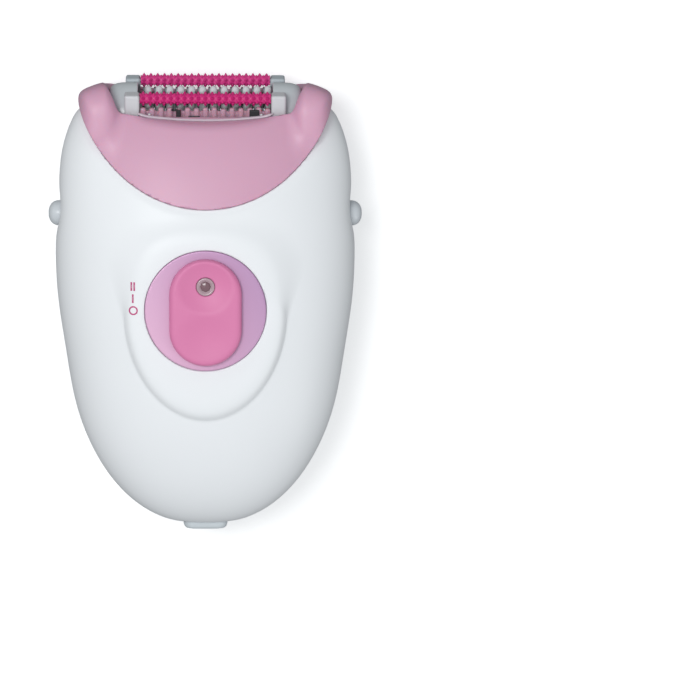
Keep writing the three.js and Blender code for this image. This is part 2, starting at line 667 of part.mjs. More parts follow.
// Trough round the tweezer rotor, with the two bearing walls and the tongues that reach down to the buttons.
function headFrame() {
  const end = FRAME.halfLength;
  const round = rodX(FRAME.radius, -end, end, 0, 0, 36).intersect(box(-FAR, FAR, -FAR, FRAME.top, -FAR, FAR));
  const upper = box(-end, end, -2, FRAME.top, -FRAME.halfDepth, FRAME.halfDepth);
  const hollow = (x0, x1, radius) => {
    const halfDepth = FRAME.halfDepth - 0.9;
    return rodX(radius, x0, x1, 0, 0, 32).add(box(x0, x1, 0, FAR, -halfDepth, halfDepth));
  };
  const chamber = hollow(BRACKET.from + 1.3, end - 0.4, 7.6);
  const bracketRoom = box(BRACKET.from - 0.1, BRACKET.to + 0.2, BRACKET.low - 0.2, FAR, -9.3, 9.3);
  const wallLeg = joined(
    rodX(6.2, BRACKET.from, BRACKET.from + 1.2, 0, 0, 28),
    box(BRACKET.from, BRACKET.from + 1.2, -7.9, 0, -4.5, 4.5),
  );
  const bush = rodX(2.4, 0, 20, 0, 0, 20);
  const gearSlot = box(-22.2, -18, -FAR, 0, -7.6, 7.6);
  const middle = hollow(0.05 - BRACKET.from, BRACKET.from - 0.05, 7.6);
  const rooms = joined(middle, chamber, mirrored(chamber), bracketRoom, mirrored(bracketRoom), gearSlot);
  const trough = joined(round, upper).subtract(rooms);
  const walls = joined(wallLeg, mirrored(wallLeg)).subtract(joined(bush, mirrored(bush)));
  const tongue = headTongue();
  return joined(lean(trough.add(walls)), tongue, mirrored(tongue));
}

// Finger that hangs from the trough's end down to a release button, which pushes it inwards.
function headTongue() {
  const { from, to, low, shelf, high, halfDepth } = TONGUE;
  const bar = (x0, y0) => box(x0, to, y0, high, PARTING_Z - halfDepth, PARTING_Z + halfDepth);
  return joined(bar(from, low), bar(FRAME.halfLength - 0.4, shelf));
}

// Rounded cover over one end of the rotor.
function endCap() {
  const sides = 22;
  const dome = (radius, from, to, rounding) => {
    const profile = [[0, from], [radius, from], [radius, to - rounding]];
    const steps = 5;
    for (let i = 1; i <= steps; i += 1) {
      const angle = (Math.PI * i) / (2 * steps);
      const x = to - rounding + rounding * Math.sin(angle);
      profile.push([radius - rounding + rounding * Math.cos(angle), x]);
    }
    profile.push([0, to]);
    return turnedX(profile, 0, 0, sides);
  };
  const shell = dome(CAP.outer, CAP.from, CAP.to, 3.2).subtract(dome(CAP.inner, 0, CAP.to - 0.7, 2.5));
  const axle = rodX(1.6, 0, 30, 0, 0, 18);
  return lean(shell.intersect(box(0, FAR, -0.8, FAR, -FAR, FAR)).subtract(axle));
}

function bearingBush() {
  const outer = rodX(2.4, BRACKET.from, BRACKET.from + 1.2, 0, 0, 20);
  return lean(outer.subtract(rodX(1.25 + RUNNING, 0, 30, 0, 0, 20)));
}

// Block that holds one massage roller's pin at one end of the head. side is 1 for the front roller and -1 for
// the rear one.
function rollerBracket(side) {
  const high = side > 0 ? BRACKET.frontHigh : BRACKET.rearHigh;
  const near = side * BRACKET.nearDepth;
  const far = side * BRACKET.farDepth;
  const corner = side * (BRACKET.farDepth - 0.9);
  const block = box(BRACKET.from, BRACKET.to, BRACKET.low, high, Math.min(near, far), Math.max(near, far));
  const chamfer = box(0, FAR, high - 0.7, FAR, Math.min(corner, 2 * far), Math.max(corner, 2 * far));
  const clear = rodX(CAP.outer + 0.25, 0, FAR, 0, 0, 32);
  const pin = rodX(ROLLER.pin + RUNNING, 0, BRACKET.to - 1.4, ROLLER.out, side * ROLLER.apart, 12);
  return lean(block.subtract(joined(clear, pin, chamfer)));
}

// ---------------------------------------------------------------- tweezer rotor

// Disc with four blunt lobes.
function lobedDisc(x0, x1) {
  const points = [];
  for (let lobe = 0; lobe < 4; lobe += 1) {
    const centre = (Math.PI * (2 * lobe + 1)) / 4;
    for (const [turn, radius] of [[-0.28, TWEEZER.tip], [0.28, TWEEZER.tip], [Math.PI / 4, TWEEZER.valley]]) {
      points.push([radius * Math.cos(centre + turn), radius * Math.sin(centre + turn)]);
    }
  }
  return slabX(points, x0, x1);
}

function discX(index) {
  return (index - (TWEEZER.count - 1) / 2) * TWEEZER.pitch - TWEEZER.thickness / 2;
}

const TIE_ROD = { radius: 0.5, orbit: 4.4 };

function tieRods(radius, x0, x1) {
  return [-1, 1].map((side) => rodX(radius, x0, x1, 0, side * TIE_ROD.orbit, 6));
}

// Core with every second tweezer disc. The other discs form a comb that slides along the core to grip.
function tweezerBarrel() {
  const core = rodX(TWEEZER.core, -15.3, 15.3, 0, 0, 16);
  const discs = [];
  for (let i = 1; i < TWEEZER.count; i += 2) {
    discs.push(lobedDisc(discX(i), discX(i) + TWEEZER.thickness));
  }
  const bore = rodX(1.3, -FAR, FAR, 0, 0, 16);
  return lean(joined(core, ...discs).subtract(joined(bore, ...tieRods(TIE_ROD.radius + 0.2, -FAR, FAR))));
}

function tweezerComb() {
  const discs = [];
  for (let i = 0; i < TWEEZER.count; i += 2) {
    const x0 = discX(i) + TWEEZER.offset;
    discs.push(lobedDisc(x0, x0 + TWEEZER.thickness));
  }
  const hole = rodX(TWEEZER.core + 0.1, -FAR, FAR, 0, 0, 16);
  const first = discX(0) + TWEEZER.offset;
  const last = discX(TWEEZER.count - 2) + TWEEZER.offset + TWEEZER.thickness;
  return lean(joined(joined(...discs).subtract(hole), ...tieRods(TIE_ROD.radius, first, last)));
}

function rotorAxle() {
  return lean(rodX(1.25, -21.2, 21.2, 0, 0, 20));
}

// Roller with a pointed ridge of bristles at each station along it.
function massageRoller() {
  const pitch = (2 * ROLLER.halfLength) / ROLLER.spikes;
  const profile = [[0, -ROLLER.halfLength], [ROLLER.core, -ROLLER.halfLength]];
  for (let i = 0; i < ROLLER.spikes; i += 1) {
    const x = (i + 0.5) * pitch - ROLLER.halfLength;
    profile.push([ROLLER.spike, x], [ROLLER.core, x + pitch / 2]);
  }
  profile.push([0, ROLLER.halfLength]);
  return turnedX(profile, 0, 0, 8).subtract(rodX(ROLLER.pin + 0.03, -FAR, FAR, 0, 0, 10));
}

function rollerPlace(solid, side) {
  return lean(solid.translate([0, ROLLER.out, side * ROLLER.apart]));
}

function rollerPin() {
  const end = BRACKET.to - 1.5;
  return rodX(ROLLER.pin, -end, end, 0, 0, 12);
}

// ---------------------------------------------------------------- the assembly

function placePart(name, solid, look) {
  const geometry = toGeometry(solid).translate(0, -LENGTH / 2, 0);
  const mesh = new THREE.Mesh(geometry, new THREE.MeshStandardMaterial(LOOKS[look]));
  mesh.name = name;
  return mesh;
}

const PIECES = [
  ["front_shell", frontShell(), "whiteShell"],
  ["back_shell", backShell(), "whiteShell"],
  ["switch_plate", switchPlate(), "lilacMetal"],
  ["gear_chassis", gearChassis(), "greyChassis"],
  ["gear_cover", gearCover(), "blackPlastic"],
  ["cover_screw_front", coverScrew(1), "steel"],
  ["cover_screw_back", coverScrew(-1), "steel"],
  ["motor_can", motorCan(), "motorSteel"],
  ["motor_end_bell", motorEndBell(), "blackPlastic"],
  ["motor_screw_front", motorScrew(1), "steel"],
  ["motor_screw_back", motorScrew(-1), "steel"],
  ["circuit_board", circuitBoard(), "greenBoard"],
  ["switch_block", switchBlock(), "blackPlastic"],
  ["light_diode", lightDiode(), "clearLens"],
  ["inlet_socket", inletSocket(), "whiteShell"],
  ["inlet_pin_left", inletPin(-1), "brass"],
  ["inlet_pin_right", inletPin(1), "brass"],
  ["idler_axle", fixedAxle(IDLER_Y), "steel"],
  ["output_axle", fixedAxle(OUTPUT_Y), "steel"],
  ["switch_knob", switchKnob(), "pinkKnob"],
  ["light_lens", lightLens(), "clearLens"],
  ["switch_fork", switchFork(), "blackPlastic"],
  ["motor_shaft", motorShaft(), "steel"],
  ["motor_armature", motorArmature(), "copper"],
  ["motor_pinion", motorPinion(), "brass"],
  ["compound_gear", compoundGear(), "ivoryGear"],
  ["output_gear", outputGear(), "ivoryGear"],
  ["release_button_right", releaseButton(), "greyButton"],
  ["release_button_left", mirrored(releaseButton()), "greyButton"],
  ["button_spring_right", buttonSpring(), "steel"],
  ["button_spring_left", mirrored(buttonSpring()), "steel"],
  ["head_housing", headHousing(), "pinkShell"],
  ["head_frame", headFrame(), "pinkTrough"],
  ["end_cap_right", endCap(), "greyCap"],
  ["end_cap_left", mirrored(endCap()), "greyCap"],
  ["bearing_bush_right", bearingBush(), "bronze"],
  ["bearing_bush_left", mirrored(bearingBush()), "bronze"],
  ["front_bracket_right", rollerBracket(1), "whiteBracket"],
  ["front_bracket_left", mirrored(rollerBracket(1)), "whiteBracket"],
  ["rear_bracket_right", rollerBracket(-1), "greyBracket"],
  ["rear_bracket_left", mirrored(rollerBracket(-1)), "greyBracket"],
  ["rotor_axle", rotorAxle(), "steel"],
  ["rotor_gear", rotorGear(), "ivoryGear"],
  ["tweezer_barrel", tweezerBarrel(), "whiteTweezer"],
  ["tweezer_comb", tweezerComb(), "steel"],
  ["massage_roller_front", rollerPlace(massageRoller(), 1), "magenta"],
  ["massage_roller_rear", rollerPlace(massageRoller(), -1), "magenta"],
  ["roller_pin_front", rollerPlace(rollerPin(), 1), "steel"],
  ["roller_pin_rear", rollerPlace(rollerPin(), -1), "steel"],
];

const epilator = new THREE.Group();
epilator.name = "epilator";
for (const [name, solid, look] of PIECES) {
  epilator.add(placePart(name, solid, look));
}

export default epilator;
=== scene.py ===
"""Looks for the epilator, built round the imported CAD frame.

Shapes are worked out in millimetres, with s counted along the body from the power inlet's end, and go into
the scene in metres. Moulded pieces are smooth implicit forms meshed by surface_net(). The rest is turned,
swept or printed mesh, and the CAD's own pieces with their edges rounded.
"""

import json
import math

import bpy
import numpy as np
from mathutils import Matrix, Vector


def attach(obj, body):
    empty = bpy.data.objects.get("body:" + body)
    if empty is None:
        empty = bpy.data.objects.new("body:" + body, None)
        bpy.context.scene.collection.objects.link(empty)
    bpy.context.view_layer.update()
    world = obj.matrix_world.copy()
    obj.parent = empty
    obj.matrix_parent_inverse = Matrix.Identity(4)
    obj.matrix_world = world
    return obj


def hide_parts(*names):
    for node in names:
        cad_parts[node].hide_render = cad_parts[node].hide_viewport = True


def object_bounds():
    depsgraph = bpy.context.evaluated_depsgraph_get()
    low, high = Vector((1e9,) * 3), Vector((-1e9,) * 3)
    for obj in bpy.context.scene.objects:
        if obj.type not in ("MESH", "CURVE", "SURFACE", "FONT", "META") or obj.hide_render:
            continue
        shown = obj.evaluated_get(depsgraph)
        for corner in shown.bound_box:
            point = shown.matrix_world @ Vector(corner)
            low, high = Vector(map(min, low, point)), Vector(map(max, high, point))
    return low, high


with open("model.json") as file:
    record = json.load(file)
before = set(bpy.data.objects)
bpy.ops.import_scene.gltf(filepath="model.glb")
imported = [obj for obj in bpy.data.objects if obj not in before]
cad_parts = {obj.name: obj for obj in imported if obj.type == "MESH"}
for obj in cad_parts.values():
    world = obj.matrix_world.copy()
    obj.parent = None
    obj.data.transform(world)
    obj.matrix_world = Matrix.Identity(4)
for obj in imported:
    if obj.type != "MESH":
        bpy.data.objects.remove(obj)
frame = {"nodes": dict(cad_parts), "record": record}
CAD_BOX = [list(corner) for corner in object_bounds()]

# ------------------------------------------------------------------ driving dimensions, mm

MM = 0.001
INLET_END = CAD_BOX[0][1] / MM
PARTING_Z = 19.0
WALL = 2.0
SEAM = 0.035

BODY_LOW, BODY_HIGH = 1.2, 110.0
WIDEST, THICKEST = 67.0, 57.0
HALF_WIDTH, FRONT_DEPTH, BACK_DEPTH = 35.0, 21.5, 19.6
SECTION_POWER = 2.3

CRESCENT_LOW, CRESCENT_RISE, CRESCENT_REACH = 78.4, 34.0, 31.0

BOSS_S, BOSS_HALF, BOSS_LOW, BOSS_HIGH, BOSS_TOP = 55.3, 19.0, 28.9, 80.0, 40.5
BOSS_DOME = 4000.0
SKIN_TOP = 40.6
DISC_RADIUS, DISC_BED = 14.1, 39.3
WINDOW_S, WINDOW_HALF_X, WINDOW_HALF_S = 52.9, 1.8, 5.7
DIODE_S, DIODE_RADIUS = 63.9, 1.95
KNOB_S, KNOB_HALF, KNOB_LENGTH, KNOB_BASE, KNOB_TOP = 55.1, 8.3, 24.7, 40.8, 43.15
LIGHT_S, LIGHT_RADIUS = 61.15, 2.08

BUTTON_S, BUTTON_RADIUS, BUTTON_TIP, BUTTON_SHOULDER = 75.2, 2.95, 36.6, 34.2

ROTOR_S, LEAN = 98.6, math.radians(12)
HORN_X, HORN_S = 24.2, 97.3
HORN_HALF_X, HORN_HALF_S, HORN_HALF_Z = 5.35, 10.3, 13.5
OPENING_HALF_X, OPENING_HALF_V, OPENING_CORNER, OPENING_FLOOR = 22.6, 10.4, 7.0, -12.0
ROLLER_OUT, ROLLER_APART, ROLLER_HALF, ROLLER_CORE, ROLLER_TIP = 5.8, 7.0, 15.1, 1.05, 1.68
SPIKE_STATIONS, SPIKE_ROWS, SPIKE_TURN = 19, 8, math.radians(21)
POST_X, POST_PIN_RADIUS = 16.9, 0.65
BLADE_PITCH, BLADE_COUNT = 1.27, 24
RIB_PITCH = 2.05

SIDES = ((1, "right"), (-1, "left"))

COS_LEAN, SIN_LEAN = math.cos(LEAN), math.sin(LEAN)


# ------------------------------------------------------------------ implicit forms

def smin(a, b, k):
    """Smaller of two fields, rounded over k millimetres where they meet."""
    h = np.clip(0.5 + 0.5 * (b - a) / k, 0, 1)
    return b * (1 - h) + a * h - k * h * (1 - h)


def smax(a, b, k):
    return -smin(-a, -b, k)


def step(low, high, value):
    t = np.clip((value - low) / (high - low), 0, 1)
    return t * t * (3 - 2 * t)


def bell(value, centre, spread):
    return np.exp(-(((value - centre) / spread) ** 2))


def bulge(distance, reach, power):
    share = np.clip(distance / reach, 0, 1)
    return (1 - share**power) ** (1 / power)


def half_width(s):
    low = bulge(WIDEST - s, WIDEST - BODY_LOW, 2.3)
    high = bulge(s - WIDEST, BODY_HIGH - WIDEST, 3.2)
    waist = 0.75 * bell(s, 43, 12) + 0.4 * bell(s, 82, 7)
    return np.maximum(HALF_WIDTH * np.where(s < WIDEST, low, high) - waist, 0.4)


def front_depth(s):
    low = bulge(THICKEST - s, THICKEST - BODY_LOW, 2.2)
    high = bulge(s - THICKEST, BODY_HIGH - THICKEST, 2.0)
    return np.maximum(FRONT_DEPTH * np.where(s < THICKEST, low, high), 0.4)


def back_depth(s):
    low = bulge(THICKEST - s, THICKEST - BODY_LOW, 2.4)
    high = bulge(s - THICKEST, BODY_HIGH - THICKEST, 3.0)
    return np.maximum(BACK_DEPTH * np.where(s < THICKEST, low, high), 0.4)


def egg_ratio(x, s, z):
    depth = np.where(z > PARTING_Z, front_depth(s), back_depth(s))
    across = (np.abs(x) / half_width(s)) ** SECTION_POWER
    up = (np.abs(z - PARTING_Z) / depth) ** SECTION_POWER
    return (across + up) ** (1 / SECTION_POWER)


def egg(x, s, z):
    """Distance to the body's bare egg, negative inside, good near the surface."""
    small = 0.05
    ratio = egg_ratio(x, s, z)
    slope_x = egg_ratio(x + small, s, z) - ratio
    slope_s = egg_ratio(x, s + small, z) - ratio
    slope_z = egg_ratio(x, s, z + small) - ratio
    slope = np.sqrt(slope_x**2 + slope_s**2 + slope_z**2) / small
    distance = (ratio - 1) / np.maximum(slope, 1e-3)
    dimple = 1.1 * bell(s, BUTTON_S + 0.8, 4.4) * bell(z, PARTING_Z, 5.5) * step(26, 32, np.abs(x))
    return smax(distance + dimple, BODY_LOW + 0.2 - s, 1.5)


def outside_crescent(x, s):
    """Distance to the seam of the head, negative on the head's side of it."""
    down = np.minimum(s - CRESCENT_LOW - CRESCENT_RISE, 0)
    ratio = np.sqrt((x / CRESCENT_REACH) ** 2 + (down / CRESCENT_RISE) ** 2)
    return (ratio - 1) * (CRESCENT_REACH + CRESCENT_RISE) / 2


def dome_top(x, s):
    return BOSS_TOP - (x**2 + (s - BOSS_S) ** 2) / BOSS_DOME


def boss(x, s, z):
    reach = np.where(s > BOSS_S, BOSS_HIGH - BOSS_S, BOSS_S - BOSS_LOW)
    ratio = np.sqrt((x / BOSS_HALF) ** 2 + ((s - BOSS_S) / reach) ** 2)
    outline = (ratio - 1) * BOSS_HALF
    top = dome_top(x, s) - 0.08 * np.maximum(s - 68, 0) ** 2
    return smax(z - top, outline, 4.0 + 6.6 * step(54, 70, s))


def body_skin(x, s, z):
    """Outer form of the white body: egg, raised island under the switch, flat patch on the back."""
    crease = 0.35 + 5.0 * step(52, 68, s)
    whole = smin(egg(x, s, z), boss(x, s, z), crease)
    whole = smax(whole, z - SKIN_TOP, 1.0)
    return smax(whole, -z, 1.2)


def button_rod(s, z, radius):
    """Distance to a rod across the body, on the axis of both buttons."""
    return np.sqrt((s - BUTTON_S) ** 2 + (z - PARTING_Z) ** 2) - radius


def inlet_box(x, z, half_x, half_z, corner):
    dx = np.maximum(np.abs(x) - half_x + corner, 0)
    dz = np.maximum(np.abs(z - PARTING_Z) - half_z + corner, 0)
    return np.sqrt(dx**2 + dz**2) - corner


def switch_openings(x, s, spare=0.0):
    """Window for the switch's fork and hole over the diode, widened by spare and half of spare."""
    window = np.maximum(np.abs(x) - WINDOW_HALF_X, np.abs(s - WINDOW_S) - WINDOW_HALF_S)
    hole = np.sqrt(x**2 + (s - DIODE_S) ** 2) - DIODE_RADIUS
    return np.minimum(window - spare, hole - spare / 2)


def shell_field(x, s, z):
    skin = body_skin(x, s, z)
    seam_distance = outside_crescent(x, s)
    shell = smax(skin + 0.35 * bell(seam_distance, 0, 1.3), -(egg(x, s, z) + WALL), 0.4)
    shell = smax(shell, SEAM - seam_distance, 0.22)
    shell = smax(shell, -button_rod(s, z, BUTTON_RADIUS + 0.25), 0.6)
    inlet = smax(inlet_box(x, z, 5.35, 3.75, 2.4), s - 12.3, 0.3)
    return smax(shell, -inlet, 0.4)


def front_shell_field(x, s, z):
    shell = smax(shell_field(x, s, z), PARTING_Z + 0.12 - z, 0.35)
    radial = np.sqrt(x**2 + (s - BOSS_S) ** 2)
    recess = np.maximum(radial - DISC_RADIUS + 0.08, DISC_BED - z)
    shell = smax(shell, -recess, 0.25)
    return smax(shell, -switch_openings(x, s, 0.1), 0.2)


def back_shell_field(x, s, z):
    return smax(shell_field(x, s, z), z - PARTING_Z + 0.12, 0.35)


# ------------------------------------------------------------------ the head's own axes

def head_axes(s, z):
    """u out of the head and v towards the front roller, from the rotor's axis."""
    along, up = s - ROTOR_S, z - PARTING_Z
    return along * COS_LEAN + up * SIN_LEAN, -along * SIN_LEAN + up * COS_LEAN


def horn(x, s, z):
    power = 4.0
    dx = np.abs(np.abs(x) - HORN_X) / HORN_HALF_X
    ds = np.abs(s - HORN_S) / HORN_HALF_S
    dz = np.abs(z - PARTING_Z) / HORN_HALF_Z
    ratio = ((dx**power + ds**power) ** (3 / power) + dz**3) ** (1 / 3)
    return (ratio - 1) * HORN_HALF_X


def rim_height(x, v):
    """Height u of the head's rim: a low lip, rising to a horn at each side."""
    side = np.abs(x)
    lip = 1.55 + 0.9 * (np.minimum(side, 14) / 14) ** 2 + 1.4 * step(13, 18.5, side)
    arch = (3.6 + 0.3 * v) * np.clip(1 - (np.abs(v - 2) / 11.5) ** 5, 0, 1)
    drop = 0.25 * np.maximum(side - 23.8, 0) ** 1.25
    return lip + arch * step(18.9, 23.2, side) - drop


def chamfered(a, b, cut):
    """Larger of two fields, with a flat narrow face across the edge where they meet."""
    return smax(smax(a, b, 0.3), (a + b) * math.sqrt(0.5) + cut, 0.25)


def head_housing_field(x, s, z):
    u, v = head_axes(s, z)
    outer = smin(egg(x, s, z), horn(x, s, z), 1.6)
    rim = rim_height(x, v)
    slope = (rim_height(x + 0.05, v) - rim) / 0.05
    outer = smax(outer, (u - rim) / np.sqrt(1 + slope**2), 1.3)
    past_x = np.abs(x) - OPENING_HALF_X + OPENING_CORNER
    past_v = np.abs(v) - OPENING_HALF_V + OPENING_CORNER
    rounded = np.sqrt(np.maximum(past_x, 0) ** 2 + np.maximum(past_v, 0) ** 2)
    opening = np.minimum(np.maximum(past_x, past_v), 0) + rounded - OPENING_CORNER
    opening = np.maximum(opening, OPENING_FLOOR - u)
    pocket = np.maximum(np.maximum(np.abs(x) - 23.2, np.abs(v) - 10.5), np.abs(u + 6.4) - 5.9)
    hollow = np.maximum(egg(x, s, z) + WALL, s - 96.6)
    housing = chamfered(outer, -opening, 0.15 + 0.6 * step(18, 21, np.abs(x)))
    housing = smax(housing, -np.minimum(pocket, hollow), 0.3)
    return smax(housing, outside_crescent(x, s) + SEAM, 0.2)


# ------------------------------------------------------------------ meshing

def edge_cells(values, axis):
    """Where grid edges along axis cross zero, how far along, and whether they start inside."""
    here = [slice(None)] * 3
    there = [slice(None)] * 3
    here[axis] = slice(None, -1)
    there[axis] = slice(1, None)
    a, b = values[tuple(here)], values[tuple(there)]
    crosses = (a < 0) != (b < 0)
    share = np.where(crosses, a / np.where(crosses, a - b, 1), 0)
    return crosses, share, a < 0


def surface_net(field, low, high, cell, relax=2):
    """Vertices (mm) and quads of the closed surface field = 0 inside the box low..high."""
    counts = [int(math.ceil((high[i] - low[i]) / cell)) + 1 for i in range(3)]
    axes = [low[i] + cell * np.arange(counts[i]) for i in range(3)]
    grid = np.meshgrid(*axes, indexing="ij")
    values = field(*grid)
    cells = [n - 1 for n in counts]
    total = np.zeros((*cells, 3))
    hits = np.zeros(cells)
    edges = [edge_cells(values, axis) for axis in range(3)]
    index = np.indices(cells)
    for axis, (crosses, share, _) in enumerate(edges):
        others = [i for i in range(3) if i != axis]
        for first in (0, 1):
            for second in (0, 1):
                cut = [slice(None)] * 3
                cut[others[0]] = slice(first, cells[others[0]] + first)
                cut[others[1]] = slice(second, cells[others[1]] + second)
                mask = crosses[tuple(cut)]
                hits += mask
                total[..., axis] += np.where(mask, share[tuple(cut)], 0)
                total[..., others[0]] += mask * first
                total[..., others[1]] += mask * second
    active = hits > 0
    number = np.full(cells, -1)
    number[active] = np.arange(active.sum())
    corner = np.stack([index[i][active] for i in range(3)], 1)
    points = np.array(low) + cell * (corner + total[active] / hits[active][:, None])
    quads = []
    for axis, (crosses, _, inside) in enumerate(edges):
        others = [(axis + 1) % 3, (axis + 2) % 3]
        place = np.argwhere(crosses)
        keep = np.ones(len(place), bool)
        for other in others:
            keep &= (place[:, other] > 0) & (place[:, other] < counts[other] - 1)
        place = place[keep]
        loop = []
        for first, second in ((1, 1), (0, 1), (0, 0), (1, 0)):
            at = place.copy()
            at[:, others[0]] -= first
            at[:, others[1]] -= second
            loop.append(number[at[:, 0], at[:, 1], at[:, 2]])
        loop = np.stack(loop, 1)
        outward = inside[place[:, 0], place[:, 1], place[:, 2]]
        quads.append(np.where(outward[:, None], loop, loop[:, ::-1]))
    quads = np.concatenate(quads)
    points = settle(field, points, 3)
    for _ in range(relax):
        points = settle(field, smooth_points(points, quads), 2)
    return points, quads


def gradient(field, points, small=0.02):
    x, s, z = points.T
    slopes = [
        field(x + small, s, z) - field(x - small, s, z),
        field(x, s + small, z) - field(x, s - small, z),
        field(x, s, z + small) - field(x, s, z - small),
    ]
    return np.stack(slopes, 1) / (2 * small)


def settle(field, points, rounds):
    """Moves points onto the surface along the field's gradient."""
    for _ in range(rounds):
        slope = gradient(field, points)
        height = field(*points.T)
        move = height[:, None] * slope / np.maximum((slope**2).sum(1), 0.05)[:, None]
        length = np.linalg.norm(move, axis=1)[:, None]
        points = points - move * np.minimum(1, 0.4 / np.maximum(length, 1e-9))
    return points


def smooth_points(points, quads):
    """Each point halfway to the middle of its neighbours."""
    total = np.zeros_like(points)
    count = np.zeros(len(points))
    for a, b in ((0, 1), (1, 2), (2, 3), (3, 0)):
        for start, end in ((a, b), (b, a)):
            np.add.at(total, quads[:, start], points[quads[:, end]])
            np.add.at(count, quads[:, start], 1)
    return 0.5 * points + 0.5 * total / count[:, None]


def to_row(points):
    """Millimetres from the inlet's end to metres in the row frame."""
    points = np.asarray(points, float)
    return (points + np.array([0, INLET_END, 0])) * MM


def add_object(name, points, faces, material, body, replaces=(), smooth=True):
    mesh = bpy.data.meshes.new(name)
    mesh.from_pydata([tuple(p) for p in to_row(points)], [], [tuple(f) for f in faces])
    mesh.update()
    obj = bpy.data.objects.new(name, mesh)
    bpy.context.scene.collection.objects.link(obj)
    finish_object(obj, material, body, replaces, smooth)
    return obj


def finish_object(obj, material, body, replaces=(), smooth=True):
    obj.data.materials.clear()
    obj.data.materials.append(material)
    obj.data.polygons.foreach_set("use_smooth", [smooth] * len(obj.data.polygons))
    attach(obj, body)
    if replaces:
        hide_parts(*replaces)


def moulded(name, field, low, high, cell, material, body, replaces=()):
    points, quads = surface_net(field, low, high, cell)
    obj = add_object(name, points, quads.tolist(), material, body, replaces)
    slope = gradient(field, points)
    normals = slope / np.maximum(np.linalg.norm(slope, axis=1), 1e-9)[:, None]
    obj.data.normals_split_custom_set_from_vertices(normals.tolist())
    return obj


# ------------------------------------------------------------------ materials

def srgb(red, green, blue):
    """Linear colour of an 8-bit sRGB one."""
    values = []
    for value in (red, green, blue):
        share = value / 255
        values.append(share / 12.92 if share <= 0.04045 else ((share + 0.055) / 1.055) ** 2.4)
    return (*values, 1.0)


def plastic(name, colour, roughness, bump=0.02, grain=900.0, vary=0.03, **shader_values):
    """Moulded plastic or metal: colour and gloss wander a little, with a fine moulded grain."""
    material = bpy.data.materials.new(name)
    material.use_nodes = True
    nodes, links = material.node_tree.nodes, material.node_tree.links
    shader = nodes["Principled BSDF"]
    shader.inputs["Coat Roughness"].default_value = 0.3
    for socket, value in shader_values.items():
        shader.inputs[socket.replace("_", " ")].default_value = value
    place = nodes.new("ShaderNodeTexCoord")
    cloud = nodes.new("ShaderNodeTexNoise")
    cloud.inputs["Scale"].default_value = 60.0
    cloud.inputs["Detail"].default_value = 4.0
    links.new(place.outputs["Object"], cloud.inputs["Vector"])
    tint = nodes.new("ShaderNodeMix")
    tint.data_type = "RGBA"
    tint.inputs["A"].default_value = (*(channel * (1 - vary) for channel in colour[:3]), 1)
    tint.inputs["B"].default_value = (*(min(1, channel * (1 + vary)) for channel in colour[:3]), 1)
    links.new(cloud.outputs["Fac"], tint.inputs["Factor"])
    links.new(tint.outputs["Result"], shader.inputs["Base Color"])
    gloss = nodes.new("ShaderNodeMapRange")
    gloss.inputs["To Min"].default_value = roughness * 0.85
    gloss.inputs["To Max"].default_value = roughness * 1.15
    links.new(cloud.outputs["Fac"], gloss.inputs["Value"])
    links.new(gloss.outputs["Result"], shader.inputs["Roughness"])
    fine = nodes.new("ShaderNodeTexNoise")
    fine.inputs["Scale"].default_value = grain
    fine.inputs["Detail"].default_value = 3.0
    links.new(place.outputs["Object"], fine.inputs["Vector"])
    relief = nodes.new("ShaderNodeBump")
    relief.inputs["Strength"].default_value = bump
    relief.inputs["Distance"].default_value = 0.0002
    links.new(fine.outputs["Fac"], relief.inputs["Height"])
    links.new(relief.outputs["Normal"], shader.inputs["Normal"])
    return material


